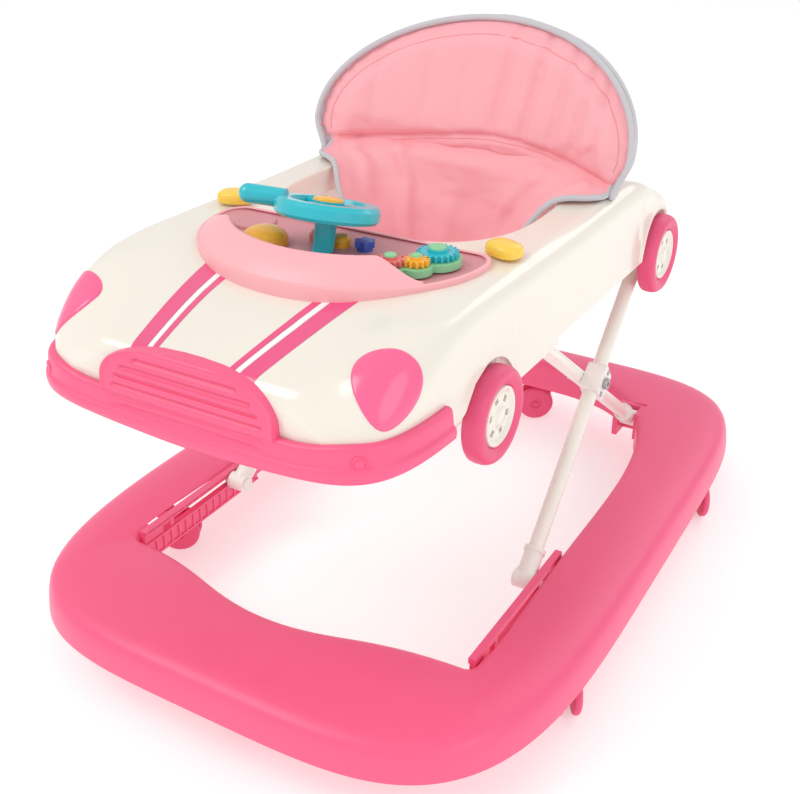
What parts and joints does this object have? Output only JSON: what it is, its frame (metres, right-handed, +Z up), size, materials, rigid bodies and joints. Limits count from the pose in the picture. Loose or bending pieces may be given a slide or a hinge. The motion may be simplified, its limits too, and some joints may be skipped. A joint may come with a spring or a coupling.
{
  "type": "baby walker",
  "caption": "Folding baby walker shaped like a small car, with a wide castored base ring, a scissor frame, a padded seat and a play tray.",
  "frame": {"origin": "centre of the bounding box at floor level", "axes": "+Z up, -Y towards the front of the toy car, +X towards the right of someone who faces the front of the car from outside"},
  "size_m": [0.5686, 0.796, 0.569],
  "materials": {
    "pink_plastic": "satin",
    "deep_pink_plastic": "satin",
    "pale_pink_plastic": "satin",
    "dusty_pink_plastic": "matte",
    "cream_plastic": "gloss",
    "cream_paint": "gloss",
    "white_plastic": "satin",
    "steel": "satin",
    "pink_cloth": "matte",
    "teal_plastic": "gloss",
    "yellow_plastic": "gloss",
    "red_plastic": "gloss",
    "blue_plastic": "gloss",
    "mint_plastic": "satin"
  },
  "bodies": {
    "base": {"base_ring": "pink_plastic", "left_rail": "pink_plastic", "right_rail": "pink_plastic", "castor_sockets": "pink_plastic", "rear_pivot_brackets": "pink_plastic", "rear_pivot_pins": "steel"},
    "castor_swivel_right_front": {"castor_housing_1": "pink_plastic"},
    "castor_wheel_right_front": {"castor_discs_1": "deep_pink_plastic"},
    "castor_swivel_left_front": {"castor_housing_2": "pink_plastic"},
    "castor_wheel_left_front": {"castor_discs_2": "deep_pink_plastic"},
    "castor_swivel_right_rear": {"castor_housing_3": "pink_plastic"},
    "castor_wheel_right_rear": {"castor_discs_3": "deep_pink_plastic"},
    "castor_swivel_left_rear": {"castor_housing_4": "pink_plastic"},
    "castor_wheel_left_rear": {"castor_discs_4": "deep_pink_plastic"},
    "castor_swivel_front": {"castor_housing_5": "pink_plastic"},
    "castor_wheel_front": {"castor_discs_5": "deep_pink_plastic"},
    "castor_swivel_rear": {"castor_housing_6": "pink_plastic"},
    "castor_wheel_rear": {"castor_discs_6": "deep_pink_plastic"},
    "inner_frame": {"inner_tube_left": "cream_paint", "inner_tube_right": "cream_paint", "inner_pivot_caps": "white_plastic", "slider_caps": "white_plastic", "front_crossbar": "steel", "scissor_bolts": "steel"},
    "outer_frame": {"outer_tube_left": "cream_paint", "outer_tube_right": "cream_paint", "foot_caps": "white_plastic", "foot_pins": "steel", "scissor_blocks": "white_plastic", "top_pivot_caps": "white_plastic", "rear_crossbar": "steel"},
    "car_body": {"body_shell": "cream_plastic", "front_bumper": "pink_plastic", "grille": "pink_plastic", "headlights": "pink_plastic", "hood_stripes": "pink_plastic", "bumper_buttons": "pink_plastic", "tyres": "pink_plastic", "wheel_hubs": "cream_plastic", "wheel_plates": "cream_plastic", "guide_tracks": "cream_plastic", "seat_back_board": "white_plastic", "seat_back_pad": "pink_cloth", "seat_sling": "pink_cloth", "tray_base": "dusty_pink_plastic", "tray_cowl": "pale_pink_plastic", "gear_pod": "mint_plastic", "sound_box": "white_plastic", "battery_cover": "white_plastic", "steering_column": "teal_plastic"},
    "steering": {"steering_wheel": "teal_plastic"},
    "toy_gear_large": {"gear_large": "teal_plastic"},
    "toy_gear_small": {"gear_small": "yellow_plastic"},
    "toy_gear_medium": {"gear_medium": "red_plastic"},
    "star_key": {"star_button": "blue_plastic"},
    "yellow_key": {"yellow_button": "yellow_plastic"},
    "red_key": {"red_button": "red_plastic"},
    "dome_key": {"dome_button": "yellow_plastic"},
    "latch_left_key": {"latch_left": "yellow_plastic"},
    "latch_right_key": {"latch_right": "yellow_plastic"}
  },
  "joints": [
    {"name": "swivel_right_front", "type": "hinge", "parent": "base", "child": "castor_swivel_right_front", "pos_m": [0.25, -0.152, 0.066], "axis": [0, 0, 1], "continuous": true},
    {"name": "roll_right_front", "type": "hinge", "parent": "castor_swivel_right_front", "child": "castor_wheel_right_front", "pos_m": [0.25824, -0.16572, 0.024], "axis": [0.8572, 0.515, 0], "continuous": true},
    {"name": "swivel_left_front", "type": "hinge", "parent": "base", "child": "castor_swivel_left_front", "pos_m": [-0.25, -0.152, 0.066], "axis": [0, 0, 1], "continuous": true},
    {"name": "roll_left_front", "type": "hinge", "parent": "castor_swivel_left_front", "child": "castor_wheel_left_front", "pos_m": [-0.23628, -0.14376, 0.024], "axis": [-0.515, 0.8572, 0], "continuous": true},
    {"name": "swivel_right_rear", "type": "hinge", "parent": "base", "child": "castor_swivel_right_rear", "pos_m": [0.25, 0.238, 0.066], "axis": [0, 0, 1], "continuous": true},
    {"name": "roll_right_rear", "type": "hinge", "parent": "castor_swivel_right_rear", "child": "castor_wheel_right_rear", "pos_m": [0.25824, 0.22429, 0.024], "axis": [0.8572, 0.515, 0], "continuous": true},
    {"name": "swivel_left_rear", "type": "hinge", "parent": "base", "child": "castor_swivel_left_rear", "pos_m": [-0.25, 0.238, 0.066], "axis": [0, 0, 1], "continuous": true},
    {"name": "roll_left_rear", "type": "hinge", "parent": "castor_swivel_left_rear", "child": "castor_wheel_left_rear", "pos_m": [-0.24299, 0.25238, 0.024], "axis": [-0.8988, 0.4384, 0], "continuous": true},
    {"name": "swivel_front", "type": "hinge", "parent": "base", "child": "castor_swivel_front", "pos_m": [0, -0.342, 0.066], "axis": [0, 0, 1], "continuous": true},
    {"name": "roll_front", "type": "hinge", "parent": "castor_swivel_front", "child": "castor_wheel_front", "pos_m": [0.01371, -0.33376, 0.024], "axis": [-0.515, 0.8572, 0], "continuous": true},
    {"name": "swivel_rear", "type": "hinge", "parent": "base", "child": "castor_swivel_rear", "pos_m": [0, 0.362, 0.066], "axis": [0, 0, 1], "continuous": true},
    {"name": "roll_rear", "type": "hinge", "parent": "castor_swivel_rear", "child": "castor_wheel_rear", "pos_m": [-0.01371, 0.35376, 0.024], "axis": [0.515, -0.8572, 0], "continuous": true},
    {"name": "fold", "type": "hinge", "parent": "base", "child": "inner_frame", "pos_m": [0, 0.275, 0.08], "axis": [1, 0, 0], "range_deg": [0, 26]},
    {"name": "scissor", "type": "hinge", "parent": "inner_frame", "child": "outer_frame", "pos_m": [0, 0.08851, 0.218], "axis": [1, 0, 0], "range_deg": [-52, 0]},
    {"name": "body_hinge", "type": "hinge", "parent": "outer_frame", "child": "car_body", "pos_m": [0, 0.23722, 0.32804], "axis": [1, 0, 0], "range_deg": [0, 26]},
    {"name": "steer", "type": "hinge", "parent": "car_body", "child": "steering", "pos_m": [0.012, -0.18275, 0.45405], "axis": [0, 0.2588, 0.9659], "range_deg": [-60, 4]},
    {"name": "spin_large", "type": "hinge", "parent": "car_body", "child": "toy_gear_large", "pos_m": [0.113, -0.167, 0.437], "axis": [0, 0, 1], "continuous": true},
    {"name": "spin_small", "type": "hinge", "parent": "car_body", "child": "toy_gear_small", "pos_m": [0.107, -0.1927, 0.437], "axis": [0, 0, 1], "continuous": true},
    {"name": "spin_medium", "type": "hinge", "parent": "car_body", "child": "toy_gear_medium", "pos_m": [0.088, -0.2028, 0.437], "axis": [0, 0, 1], "continuous": true},
    {"name": "press_star", "type": "slide", "parent": "car_body", "child": "star_key", "axis": [0, 0, -1], "range_m": [0, 0.0025], "stiffness_N_per_m": 600, "springref_m": -0.0015},
    {"name": "press_yellow", "type": "slide", "parent": "car_body", "child": "yellow_key", "axis": [0, 0, -1], "range_m": [0, 0.0025], "stiffness_N_per_m": 600, "springref_m": -0.0015},
    {"name": "press_red", "type": "slide", "parent": "car_body", "child": "red_key", "axis": [0, 0, -1], "range_m": [0, 0.0025], "stiffness_N_per_m": 600, "springref_m": -0.0015},
    {"name": "press_dome", "type": "slide", "parent": "car_body", "child": "dome_key", "axis": [0, 0, -1], "range_m": [0, 0.0025], "stiffness_N_per_m": 600, "springref_m": -0.0015},
    {"name": "press_latch_left", "type": "slide", "parent": "car_body", "child": "latch_left_key", "axis": [0, 0, -1], "range_m": [0, 0.0025], "stiffness_N_per_m": 900, "springref_m": -0.0015},
    {"name": "press_latch_right", "type": "slide", "parent": "car_body", "child": "latch_right_key", "axis": [0, 0, -1], "range_m": [0, 0.0025], "stiffness_N_per_m": 900, "springref_m": -0.0015}
  ],
  "couplings": [
    {"joint": "scissor", "follows": "fold", "ratio": -2},
    {"joint": "body_hinge", "follows": "fold", "ratio": 1},
    {"joint": "spin_small", "follows": "spin_large", "ratio": -1.6667},
    {"joint": "spin_medium", "follows": "spin_large", "ratio": 1.4286}
  ]
}
